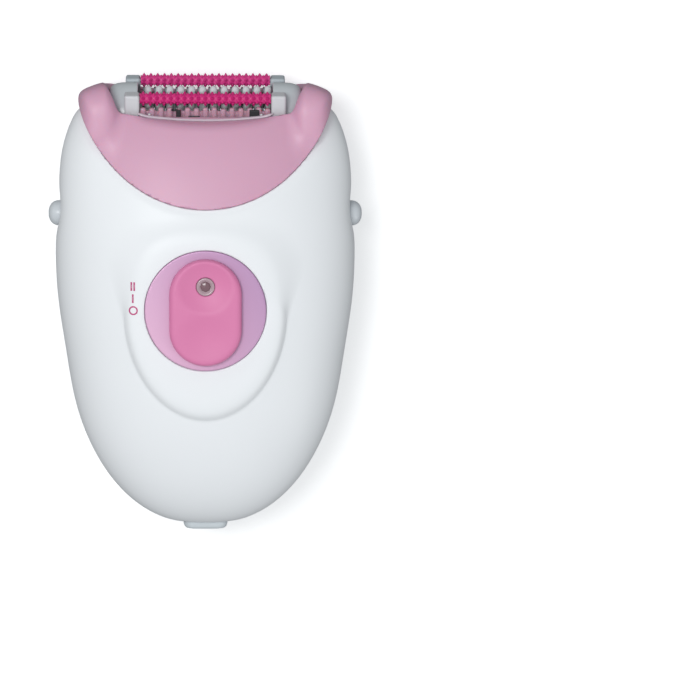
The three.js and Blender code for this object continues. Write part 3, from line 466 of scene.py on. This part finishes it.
MATERIALS = {
    "whiteShell": plastic("white_shell", srgb(238, 240, 242), 0.38, bump=0.01, vary=0.01,
                          Specular_IOR_Level=0.3),
    "pinkShell": plastic("pink_shell", srgb(212, 161, 186), 0.45, bump=0.03, vary=0.02,
                         Subsurface_Weight=0.15, Subsurface_Scale=0.002, Coat_Weight=0.1),
    "pinkTrough": plastic("pink_trough", srgb(190, 150, 168), 0.35,
                          Subsurface_Weight=0.2, Subsurface_Scale=0.002),
    "lilacMetal": plastic("lilac_metal", srgb(214, 165, 204), 0.32, bump=0.06, grain=2500.0, Metallic=0.75),
    "pinkKnob": plastic("pink_knob", srgb(219, 126, 171), 0.5, bump=0.03),
    "clearLens": plastic("clear_lens", srgb(178, 152, 160), 0.12, Coat_Weight=0.6),
    "greyButton": plastic("grey_button", srgb(205, 210, 214), 0.3),
    "greyCap": plastic("grey_cap", srgb(206, 212, 215), 0.26, Coat_Weight=0.3),
    "whiteBracket": plastic("white_bracket", srgb(208, 208, 211), 0.4),
    "greyBracket": plastic("grey_bracket", srgb(184, 193, 198), 0.4),
    "magenta": plastic("magenta_rubber", srgb(206, 36, 120), 0.36, bump=0.05),
    "whiteTweezer": plastic("white_tweezer", srgb(226, 228, 230), 0.35),
    "steel": plastic("bright_steel", srgb(170, 172, 176), 0.25, bump=0.05, Metallic=1.0),
    "motorSteel": plastic("zinc_steel", srgb(150, 153, 156), 0.35, bump=0.05, Metallic=1.0),
    "copper": plastic("copper_winding", srgb(176, 106, 60), 0.4, bump=0.2, grain=3000.0, Metallic=1.0),
    "brass": plastic("turned_brass", srgb(196, 164, 84), 0.3, Metallic=1.0),
    "bronze": plastic("sintered_bronze", srgb(172, 120, 64), 0.45, bump=0.15, Metallic=1.0),
    "ivoryGear": plastic("acetal_gear", srgb(232, 227, 212), 0.45),
    "greyChassis": plastic("grey_chassis", srgb(150, 154, 158), 0.5, bump=0.06),
    "blackPlastic": plastic("black_plastic", srgb(28, 29, 33), 0.45),
    "spunLilac": plastic("spun_lilac_painted_reflection", srgb(206, 166, 198), 0.42, bump=0.04, grain=2500.0, Metallic=0.25),
    # White body plastic of the inlet collar, painted grey-blue: painted shade for a collar that faces down,
    # away from the light.
    "inletGrey": plastic("inlet_white_painted_shade", srgb(206, 213, 217), 0.35),
    "darkLens": plastic("dark_lens", srgb(120, 88, 96), 0.1, Coat_Weight=0.6),
    "printPink": plastic("print_pink", srgb(192, 78, 128), 0.4),
    # Rear roller's rubber: the magenta painted lighter and paler than the front roller's, as painted light
    # that makes up for the shade it sits in.
    "deepMagenta": plastic("magenta_rubber_painted_lighter", srgb(216, 58, 138), 0.36, bump=0.05),
    # Greyed pink of the trough's ribs: painted shade with a painted reflection of the pink housing.
    "pinkRib": plastic("rib_painted_shade_and_reflection", srgb(190, 148, 165), 0.3, Subsurface_Weight=0.3, Subsurface_Scale=0.001),
    "lipGrey": plastic("lip_grey", srgb(205, 190, 200), 0.25, Coat_Weight=0.3),
    "greenBoard": plastic("circuit_board", srgb(32, 108, 70), 0.35, bump=0.08, grain=400.0),
}
# Way across the switch disc along which its painted reflection goes from light to dark.
REFLECTION_DRIFT_WAY = (0.8, 0.6, 0)


def paint_reflection_drift(material, first, second, reach):
    """Paints a reflection into the material's colour: it drifts from first to second along a fixed way
    across the scene, over reach metres each way.
    """
    nodes, links = material.node_tree.nodes, material.node_tree.links
    place = nodes.new("ShaderNodeTexCoord")
    along = nodes.new("ShaderNodeVectorMath")
    along.operation = "DOT_PRODUCT"
    along.inputs[1].default_value = REFLECTION_DRIFT_WAY
    share = nodes.new("ShaderNodeMapRange")
    share.inputs["From Min"].default_value = -reach
    share.inputs["From Max"].default_value = reach
    mix = nodes.new("ShaderNodeMix")
    mix.data_type = "RGBA"
    mix.inputs["A"].default_value = first
    mix.inputs["B"].default_value = second
    links.new(place.outputs["Object"], along.inputs[0])
    links.new(along.outputs["Value"], share.inputs["Value"])
    links.new(share.outputs["Result"], mix.inputs["Factor"])
    links.new(mix.outputs["Result"], nodes["Principled BSDF"].inputs["Base Color"])


# Painted reflection on the switch disc: light pink at the lower left, darker lilac towards the upper right.
paint_reflection_drift(MATERIALS["spunLilac"], srgb(226, 180, 209), srgb(190, 150, 188), DISC_RADIUS * MM)

SLOT_OF = {entry["node"]: entry["material_slot"] for entry in frame["record"]["subparts"]}
for node_name, node in frame["nodes"].items():
    node.data.materials.clear()
    node.data.materials.append(MATERIALS[SLOT_OF[node_name]])


# ------------------------------------------------------------------ camera, light and floor

CAMERA_PITCH = math.radians(9)
CAMERA_DISTANCE = 900.0
CAMERA_CENTRE_S = 54.3
AIM_RIGHT, AIM_DOWN = 33.976, 11.529
VIEW_WIDTH = 164.706
SENSOR = 36.0
LIGHT_TARGET = (0, 0, 0.02)


def make_camera():
    """Camera over the front, leaned towards the head, with the part left of and above the middle."""
    centre = Vector((0, CAMERA_CENTRE_S, PARTING_Z))
    back = Vector((0, math.sin(CAMERA_PITCH), math.cos(CAMERA_PITCH)))
    up = Vector((0, math.cos(CAMERA_PITCH), -math.sin(CAMERA_PITCH)))
    eye = centre + back * CAMERA_DISTANCE
    aim = centre + Vector((AIM_RIGHT, 0, 0)) - up * AIM_DOWN
    toward = (eye - aim).normalized()
    right = up.cross(toward).normalized()
    top = toward.cross(right)
    camera_data = bpy.data.cameras.new("camera")
    camera_data.sensor_width = SENSOR
    distance = (eye - aim).length
    camera_data.lens = SENSOR * distance / VIEW_WIDTH
    camera = bpy.data.objects.new("camera", camera_data)
    place = (eye + Vector((0, INLET_END, 0))) * MM
    turn = Matrix((right, top, toward)).transposed().to_4x4()
    camera.matrix_world = Matrix.Translation(place) @ turn
    bpy.context.scene.collection.objects.link(camera)
    bpy.context.scene.camera = camera


def area_light(name, place, size, power):
    data = bpy.data.lights.new(name, "AREA")
    data.shape = "RECTANGLE"
    data.size, data.size_y = size
    data.energy = power
    light = bpy.data.objects.new(name, data)
    light.location = Vector(place)
    aim = Vector(place) - Vector(LIGHT_TARGET)
    light.rotation_euler = aim.to_track_quat("Z", "Y").to_euler()
    bpy.context.scene.collection.objects.link(light)


def make_studio():
    world = bpy.data.worlds.new("studio")
    world.use_nodes = True
    nodes, links = world.node_tree.nodes, world.node_tree.links
    background = nodes["Background"]
    background.inputs["Color"].default_value = (0.93, 0.97, 1, 1)
    direction = nodes.new("ShaderNodeTexCoord")
    height = nodes.new("ShaderNodeSeparateXYZ")
    glow = nodes.new("ShaderNodeMapRange")
    glow.inputs["From Max"].default_value = 0.7
    glow.inputs["To Min"].default_value = 0.24
    glow.inputs["To Max"].default_value = 0.65
    links.new(direction.outputs["Generated"], height.inputs["Vector"])
    links.new(height.outputs["Z"], glow.inputs["Value"])
    links.new(glow.outputs["Result"], background.inputs["Strength"])
    bpy.context.scene.world = world
    area_light("key", (-0.2, 0.2, 0.84), (0.28, 0.28), 2.7)
    area_light("left", (-0.5, 0.2, 0.35), (0.2, 0.4), 0.35)
    area_light("fill", (0.5, -0.3, 0.3), (0.2, 0.4), 0.5)
    bpy.ops.mesh.primitive_plane_add(size=6, location=(0, 0, -0.0002))
    floor = bpy.context.object
    floor.name = "floor"
    floor_material = plastic("pale_floor", (0.93, 0.93, 0.93, 1), 0.7, vary=0.005,
                             Emission_Color=(1, 1, 1, 1), Emission_Strength=0.34)
    floor.data.materials.append(floor_material)
    floor.visible_diffuse = False
    floor.visible_glossy = False
    bpy.context.scene.view_settings.view_transform = "Standard"


make_camera()
make_studio()


# ------------------------------------------------------------------ shapes from a few numbers

def to_head(points):
    """Points (x, u, v) on the head's leaned axes, as (x, s, z)."""
    x, u, v = np.asarray(points, float).T
    return np.stack([x, ROTOR_S + u * COS_LEAN - v * SIN_LEAN, PARTING_Z + u * SIN_LEAN + v * COS_LEAN], 1)


def leaned(field):
    return lambda x, s, z: field(x, *head_axes(s, z))


def turned(profile, sides=48):
    """Closed solid turned about the X axis from (radius, x) pairs that start and end on the axis."""
    ring = 2 * np.pi * np.arange(sides) / sides
    points = [(profile[0][1], 0, 0)]
    faces = []
    previous = None
    for radius, x in profile[1:-1]:
        first = len(points)
        points += [(x, radius * math.cos(turn), radius * math.sin(turn)) for turn in ring]
        for i in range(sides):
            j = (i + 1) % sides
            if previous is None:
                faces.append((0, first + j, first + i))
            else:
                faces.append((previous + i, previous + j, first + j, first + i))
        previous = first
    points.append((profile[-1][1], 0, 0))
    last = len(points) - 1
    faces += [(last, previous + i, previous + (i + 1) % sides) for i in range(sides)]
    return np.array(points, float), faces


def stand_up(points, x, s):
    """Turned points with their X axis laid along z, at (x, s)."""
    return np.stack([x + points[:, 2], s + points[:, 1], points[:, 0]], 1)


def swept(path, half_across, half_up, around=16, power=2.4):
    """Closed bar of rounded section swept along a path of (x, u, v); across is v and up is u."""
    turn = 2 * np.pi * np.arange(around) / around
    across = half_across * np.sign(np.cos(turn)) * np.abs(np.cos(turn)) ** (2 / power)
    up = half_up * np.sign(np.sin(turn)) * np.abs(np.sin(turn)) ** (2 / power)
    points, faces = [], []
    for step_number, (x, u, v) in enumerate(path):
        taper = 0.35 if step_number in (0, len(path) - 1) else 1
        points += [(x, u + taper * up[i], v + taper * across[i]) for i in range(around)]
        if step_number:
            base = (step_number - 1) * around
            for i in range(around):
                j = (i + 1) % around
                faces.append((base + i, base + j, base + around + j, base + around + i))
    faces.append(tuple(range(around - 1, -1, -1)))
    faces.append(tuple(range((len(path) - 1) * around, len(path) * around)))
    return np.array(points, float), faces


def rounded_box(half_x, half_y, half_z, radius, x, y, z):
    """Distance to a box with every edge rounded, centred on the origin."""
    dx, dy, dz = np.abs(x) - half_x + radius, np.abs(y) - half_y + radius, np.abs(z) - half_z + radius
    outside = np.sqrt(np.maximum(dx, 0) ** 2 + np.maximum(dy, 0) ** 2 + np.maximum(dz, 0) ** 2)
    return outside + np.minimum(np.maximum(np.maximum(dx, dy), dz), 0) - radius


# ------------------------------------------------------------------ moulded pieces

CELL = 0.5
FINE_CELL = 1.0


def make_shells():
    moulded("front_shell_skin", front_shell_field, (-36, 0.2, 18.4), (36, 108, 42), CELL * 0.8,
            MATERIALS["whiteShell"], "body", ["front_shell"])
    moulded("back_shell_skin", back_shell_field, (-36, 0.2, -1), (36, 108, 19.6), CELL,
            MATERIALS["whiteShell"], "body", ["back_shell"])


def make_head_housing():
    moulded("head_housing_skin", head_housing_field, (-31, 76, -1), (31, 108.5, 40.5), CELL * 0.9,
            MATERIALS["pinkShell"], "head", ["head_housing"])


# ------------------------------------------------------------------ switch

def switch_plate_field(x, s, z):
    radial = np.sqrt(x**2 + (s - BOSS_S) ** 2)
    disc = smax(radial - DISC_RADIUS + 0.14, z - dome_top(x, s), 0.3)
    disc = smax(disc, DISC_BED + 0.02 - z, 0.1)
    return smax(disc, -switch_openings(x, s), 0.15)


def knob_field(x, s, z):
    along = np.maximum(np.abs(s - KNOB_S) - KNOB_LENGTH / 2 + KNOB_HALF, 0)
    side = np.sqrt(x**2 + along**2) - KNOB_HALF
    top = KNOB_TOP - x**2 / 420 - (s - BOSS_S) ** 2 / 1600
    knob = smax(side, z - top, 1.5)
    knob = smax(knob, KNOB_BASE - z, 0.25)
    radial = np.sqrt(x**2 + (s - LIGHT_S) ** 2)
    dish = top - 1.2 + 1.2 * (np.maximum(radial - LIGHT_RADIUS, 0) / 4.2) ** 1.4
    knob = smax(knob, 0.95 * (z - dish), 0.3)
    thumb = np.sqrt((x / 7.4) ** 2 + ((s - BOSS_S + 6.2) / 7.0) ** 2 + ((z - KNOB_TOP - 1.6) / 2.2) ** 2)
    knob = smax(knob, (1 - thumb) * 2.2, 0.6)
    return smax(knob, LIGHT_RADIUS + 0.03 - radial, 0.35)


def inlet_field(x, s, z):
    collar = smax(inlet_box(x, z, 5.2, 3.6, 2.4), -s, 1.8)
    collar = smax(collar, s - 12, 0.2)
    cavity = smax(inlet_box(x, z, 3.7, 2.2, 0.6), s - 8, 0.2)
    mouth = smax(inlet_box(x, z, 4.1, 2.6, 0.9), s - 0.7, 0.2)
    pins = np.sqrt((np.abs(x) - 1.6) ** 2 + (z - PARTING_Z) ** 2) - 0.62
    return smax(collar, -np.minimum(np.minimum(cavity, mouth), pins), 0.3)


def make_inlet():
    # The collar's grey-blue is painted shade on white plastic.
    moulded("inlet_collar", inlet_field, (-5.6, -0.4, 15), (5.6, 12.4, 23), FINE_CELL * 0.22,
            MATERIALS["inletGrey"], "body", ["inlet_socket"])


def make_switch():
    moulded("switch_disc", switch_plate_field, (-15, 40, 38.9), (15, 70.5, 41), FINE_CELL * 0.26,
            MATERIALS["spunLilac"], "body", ["switch_plate"])
    moulded("switch_slider", knob_field, (-9, 42, 40.4), (9, 68.6, 43.8), FINE_CELL * 0.2,
            MATERIALS["pinkKnob"], "switch", ["switch_knob"])
    rim, floor, base = KNOB_TOP - 1.1, KNOB_TOP - 1.6, KNOB_BASE
    ring = [(0, base), (2.0, base), (LIGHT_RADIUS, base + 0.15), (LIGHT_RADIUS, rim - 0.2), (2.05, rim),
            (1.75, rim), (1.45, rim - 0.15), (1.2, floor), (0, floor)]
    points, faces = turned(ring, 40)
    add_object("light_reflector", stand_up(points, 0, LIGHT_S), faces, MATERIALS["clearLens"], "switch",
               ["light_lens"])
    bead = [(0, floor - 0.1), (1.15, floor - 0.05), (1.2, floor + 0.05), (1.0, floor + 0.25),
            (0.5, floor + 0.4), (0, floor + 0.45)]
    points, faces = turned(bead, 8)
    add_object("light_bead", stand_up(points, 0, LIGHT_S), faces, MATERIALS["darkLens"], "switch",
               (), smooth=False)


def skin_height(x, s):
    """Height of the front skin at (x, s), found by halving."""
    low, high = np.full(x.shape, 30.0), np.full(x.shape, 44.0)
    for _ in range(30):
        middle = (low + high) / 2
        inside = body_skin(x, s, middle) < 0
        low, high = np.where(inside, middle, low), np.where(inside, high, middle)
    return low


def printed(name, outline, hole, x, s):
    """Thin raised print that follows the shell. outline and hole are (x, s) loops of one length."""
    outer, inner = np.array(outline), np.array(hole)
    count = len(outer)
    flat = np.concatenate([outer, inner]) + np.array([x, s])
    height = skin_height(flat[:, 0], flat[:, 1])
    top = np.column_stack([flat, height + 0.045])
    bottom = np.column_stack([flat, height - 0.06])
    points = np.concatenate([top, bottom])
    faces = []
    for i in range(count):
        j = (i + 1) % count
        faces.append((i, j, count + j, count + i))
        faces.append((2 * count + i, 3 * count + i, 3 * count + j, 2 * count + j))
        faces.append((i, 2 * count + i, 2 * count + j, j))
        faces.append((count + i, count + j, 3 * count + j, 3 * count + i))
    add_object(name, points, faces, MATERIALS["printPink"], "body", (), smooth=False)


def make_marks():
    turn = 2 * np.pi * np.arange(32) / 32
    circle = np.column_stack([np.cos(turn), np.sin(turn)])
    bar = np.sign(circle) * np.minimum(np.abs(circle) * 4, 1)
    printed("mark_off_ring", circle * 1.05, circle * 0.72, -16.55, 55.4)
    printed("mark_one_bar", bar * [0.19, 1.0], bar * [0.03, 0.4], -16.65, 58.15)
    printed("mark_two_bar_left", bar * [0.19, 1.0], bar * [0.03, 0.4], -16.98, 60.95)
    printed("mark_two_bar_right", bar * [0.19, 1.0], bar * [0.03, 0.4], -16.32, 60.95)


# ------------------------------------------------------------------ buttons

def make_buttons():
    dome = []
    for i in range(10):
        turn = math.pi * i / 20
        out = BUTTON_SHOULDER + (BUTTON_TIP - BUTTON_SHOULDER) * math.sin(turn)
        dome.append((BUTTON_RADIUS * math.cos(turn) ** 0.8, out))
    profile = [(0, 29.7), (1.3, 29.7), (1.4, 29.8), (1.4, 31.9), (2.5, 31.9), (2.6, 32.0), (2.6, 32.6),
               (2.85, 32.7), (2.95, 32.8), *dome, (0, BUTTON_TIP)]

    for side, word in SIDES:
        points, faces = turned(profile, 48)
        points = points + np.array([0, BUTTON_S, PARTING_Z])
        if side < 0:
            points = points * np.array([-1, 1, 1])
            faces = [face[::-1] for face in faces]
        add_object(f"release_cap_{word}", points, faces, MATERIALS["greyButton"], f"release_{word}",
                   [f"release_button_{word}"])


# ------------------------------------------------------------------ head details

def end_cap_field(x, u, v):
    radial = np.sqrt(u**2 + v**2)
    power = 6.0

    def form(radius, end):
        out = np.maximum(x - 14.0, 0) / (end - 14.0)
        return ((out**power + (radial / radius) ** power) ** (1 / power) - 1) * radius * 0.95

    shell = smax(form(7.2, 22.5), -form(6.5, 21.8), 0.15)
    shell = smax(shell, 15.65 - x, 0.3)
    shell = smax(shell, -0.8 - u, 0.3)
    return smax(shell, 1.55 - radial, 0.2)


def bracket_field(way, foot, top):
    """Post that carries a roller's pin, from foot to top, at the front (way 1) or the rear (way -1)."""
    middle, half_height = (top + foot) / 2, (top - foot) / 2

    def field(x, u, v):
        depth = way * v
        block = rounded_box(1.72, half_height, 1.85, 0.55, x - POST_X, u - middle, depth - 7.15)
        block = smax(block, 7.45 - np.sqrt(u**2 + v**2), 0.25)
        pin = np.sqrt((u - ROLLER_OUT) ** 2 + (depth - ROLLER_APART) ** 2) - POST_PIN_RADIUS
        return smax(block, -np.maximum(pin, x - 17.5), 0.15)

    return field


def mirror_field(field, side):
    return lambda x, s, z: field(side * x, s, z)


def make_covers():
    front, rear = bracket_field(1, -1.8, 7.0), bracket_field(-1, -3.0, 6.6)
    for name, node, look, field, span, low, high, cell in (
        ("rotor_cover", "end_cap", "greyCap", end_cap_field, (15.2, 22.8), (95.5, 10), (108, 29), 0.25),
        ("front_post", "front_bracket", "whiteBracket", front, (14.8, 19.2), (93, 22), (106, 30.5), 0.22),
        ("rear_post", "rear_bracket", "greyBracket", rear, (14.8, 19.2), (95.5, 8.5), (108, 16.5), 0.22),
    ):
        for side, word in SIDES:
            near, far = sorted(side * x for x in span)
            moulded(f"{name}_{word}", mirror_field(leaned(field), side), (near, *low), (far, *high),
                    FINE_CELL * cell, MATERIALS[look], "head", [f"{node}_{word}"])


def roller_field(x, y, z):
    """Rubber roller along X with pyramid points in staggered rows."""
    radial = np.sqrt(y**2 + z**2)
    turn = (np.arctan2(z, y) + SPIKE_TURN) / (2 * np.pi) * SPIKE_ROWS
    row = np.round(turn)
    across = radial * (turn - row) * 2 * np.pi / SPIKE_ROWS
    pitch = 2 * ROLLER_HALF / SPIKE_STATIONS
    shift = np.where(np.mod(row, 2) == 0, 0, 0.5)
    place = x / pitch + shift
    along = (place - np.round(place)) * pitch
    point = 0.66 * (np.abs(along) + 0.9 * np.abs(across)) - 0.46 * (ROLLER_TIP + 0.15 - radial)
    roller = smin(radial - ROLLER_CORE, point, 0.08)
    roller = smax(roller, np.abs(x) - ROLLER_HALF, 0.15)
    return smax(roller, 0.66 - radial, 0.1)


def make_rollers():
    cell = FINE_CELL * 0.12
    reach = ROLLER_TIP + 0.2
    low, high = (-ROLLER_HALF - 0.3, -reach, -reach), (ROLLER_HALF + 0.3, reach, reach)
    points, quads = surface_net(roller_field, low, high, cell, relax=1)
    # The rear roller's material is the magenta painted lighter: painted light.
    for word, side, look in (("front", 1, "magenta"), ("rear", -1, "deepMagenta")):
        placed = to_head(points + np.array([0, ROLLER_OUT, side * ROLLER_APART]))
        add_object(f"spiked_roller_{word}", placed, quads.tolist(), MATERIALS[look], f"{word}_roller",
                   [f"massage_roller_{word}"], smooth=False)


def lobed_field(tip, lobe, half_thickness, bore):
    """Rotor disc with four round lobes, in (x, u, v)."""

    def field(x, u, v):
        radial = np.sqrt(u**2 + v**2)
        turn = np.arctan2(u, v) - np.pi / 4
        fold = turn - np.round(turn / (np.pi / 2)) * np.pi / 2
        across, along = radial * np.sin(fold), radial * np.cos(fold)
        finger = np.sqrt((along - tip + lobe) ** 2 + across**2) - lobe
        outline = smin(radial - 4.9, finger, 1.1)
        disc = smax(outline, np.abs(x) - half_thickness, min(1.0, 1.6 * half_thickness))
        return smax(disc, bore - radial, 0.1)

    return field


def copies(points, faces, offsets):
    """The same closed form repeated at offsets along X, as one list of points and faces."""
    all_points = np.concatenate([points + np.array([offset, 0, 0]) for offset in offsets])
    all_faces = []
    for number in range(len(offsets)):
        start = number * len(points)
        all_faces += [tuple(start + corner for corner in face) for face in faces]
    return all_points, all_faces


def merged(*parts):
    points, faces, start = [], [], 0
    for part_points, part_faces in parts:
        points.append(np.asarray(part_points, float))
        faces += [tuple(start + corner for corner in face) for face in part_faces]
        start += len(part_points)
    return np.concatenate(points), faces


def make_rotor():
    cell = FINE_CELL * 0.2
    reach = 7.3
    stations = [(i - (BLADE_COUNT - 1) / 2) * BLADE_PITCH for i in range(BLADE_COUNT)]
    low, high = (-1.3, -reach, -reach), (1.3, reach, reach)
    white = surface_net(lobed_field(7.0, 1.5, 0.85, 2.6), low, high, cell, relax=1)
    core = turned([(0, -15.3), (3.2, -15.3), (3.3, -15.2), (3.3, 15.2), (3.2, 15.3), (0, 15.3)], 40)
    points, faces = merged(copies(white[0], white[1].tolist(), stations[1::2]), core)
    add_object("tweezer_drum", to_head(points), faces, MATERIALS["whiteTweezer"], "tweezer_rotor",
               ["tweezer_barrel"])
    low, high = (-0.5, -reach, -reach), (0.5, reach, reach)
    steel = surface_net(lobed_field(6.9, 1.0, 0.28, 3.42), low, high, cell * 0.8, relax=1)
    rods = [turned([(0, -14.3), (0.5, -14.3), (0.5, 13.2), (0, 13.2)], 16) for _ in (0, 1)]
    rods = [(rod[0] + np.array([0, 0, side * 4.4]), rod[1]) for rod, side in zip(rods, (1, -1))]
    points, faces = merged(copies(steel[0], steel[1].tolist(), [x + 0.3 for x in stations[0::2]]), *rods)
    add_object("tweezer_blades", to_head(points), faces, MATERIALS["steel"], "tweezer_grip",
               ["tweezer_comb"])


def rib_field(x, u, v):
    """Lumpy translucent guide ribs that stand in the trough in front of the rotor. Their mauve is painted
    shade with a painted reflection of the pink housing.
    """
    number = np.round(x / RIB_PITCH)
    along = x - number * RIB_PITCH
    top = 4.05 + 0.12 * np.sin(number * 2.4) + 0.08 * np.cos(number * 5.1)
    rib = rounded_box(0.62, 2.4, 0.6, 0.45, along, u - top + 2.4, v - 8.45 - 0.1 * np.sin(number * 3.3))
    sill = rounded_box(15.2, 1.9, 0.3, 0.25, x, u - 1.3 - 0.1 * np.sin(number * 1.7), v - 8.1)
    return smax(smin(rib, sill, 0.5), np.abs(x) - 15.1, 0.2)


def make_trough():
    moulded("trough_ribs", leaned(rib_field), (-15.5, 95, 24), (15.5, 103, 30.6), FINE_CELL * 0.24,
            MATERIALS["pinkRib"], "head", ())
    path = [(x, rim_height(x, 10.2) + 0.02, 9.9) for x in np.linspace(-15.6, 15.6, 41)]
    points, faces = swept(path, 0.5, 0.34)
    add_object("lip_trim", to_head(points), faces, MATERIALS["lipGrey"], "head", ())
    # Small black blocks under the front roller, put where dark gaps show: painted shade.
    for name, x, u, v, half_x, half_u, half_v in (
        ("shade_block_tee", -6.2, 2.9, 9.2, 0.55, 0.95, 0.3),
        ("shade_block_tee_bar", -7.1, 3.75, 9.2, 0.75, 0.22, 0.3),
        ("shade_block_flat", -2.6, 2.05, 9.35, 1.35, 0.32, 0.22),
        ("shade_block_round", 11.3, 2.9, 9.2, 1.15, 0.95, 0.3),
    ):
        field = placed_box_field(x, u, v, half_x, half_u, half_v)
        centre = to_head([(x, u, v)])[0]
        reach = max(half_x, half_u, half_v) + 0.4
        moulded(name, leaned(field), centre - reach, centre + reach, 0.12,
                MATERIALS["blackPlastic"], "head", ())
    stem, faces = turned([(0, 1.0), (0.3, 1.0), (0.32, 2.4), (0.28, 2.75), (0.15, 2.9), (0, 2.95)], 20)
    for side, word in SIDES:
        points = np.stack([stem[:, 2] + side * 12.9, stem[:, 0], stem[:, 1] + 9.2], 1)
        add_object(f"lip_post_{word}", to_head(points), faces, MATERIALS["whiteBracket"], "head",
                   ())


def placed_box_field(cx, cu, cv, half_x, half_u, half_v):
    radius = min(half_x, half_u, half_v) * 0.8
    return lambda x, u, v: rounded_box(half_x, half_u, half_v, radius, x - cx, u - cu, v - cv)


def round_edges():
    """Softens the edges of the CAD pieces that stay visible."""
    for node in frame["nodes"].values():
        rounding = node.modifiers.new("edge_round", "BEVEL")
        rounding.width = 0.08 * MM
        rounding.segments = 2
        rounding.limit_method = "ANGLE"
        rounding.angle_limit = math.radians(38)


make_shells()
make_head_housing()
make_inlet()
make_switch()
make_marks()
make_buttons()
make_covers()
make_rollers()
make_rotor()
make_trough()
round_edges()
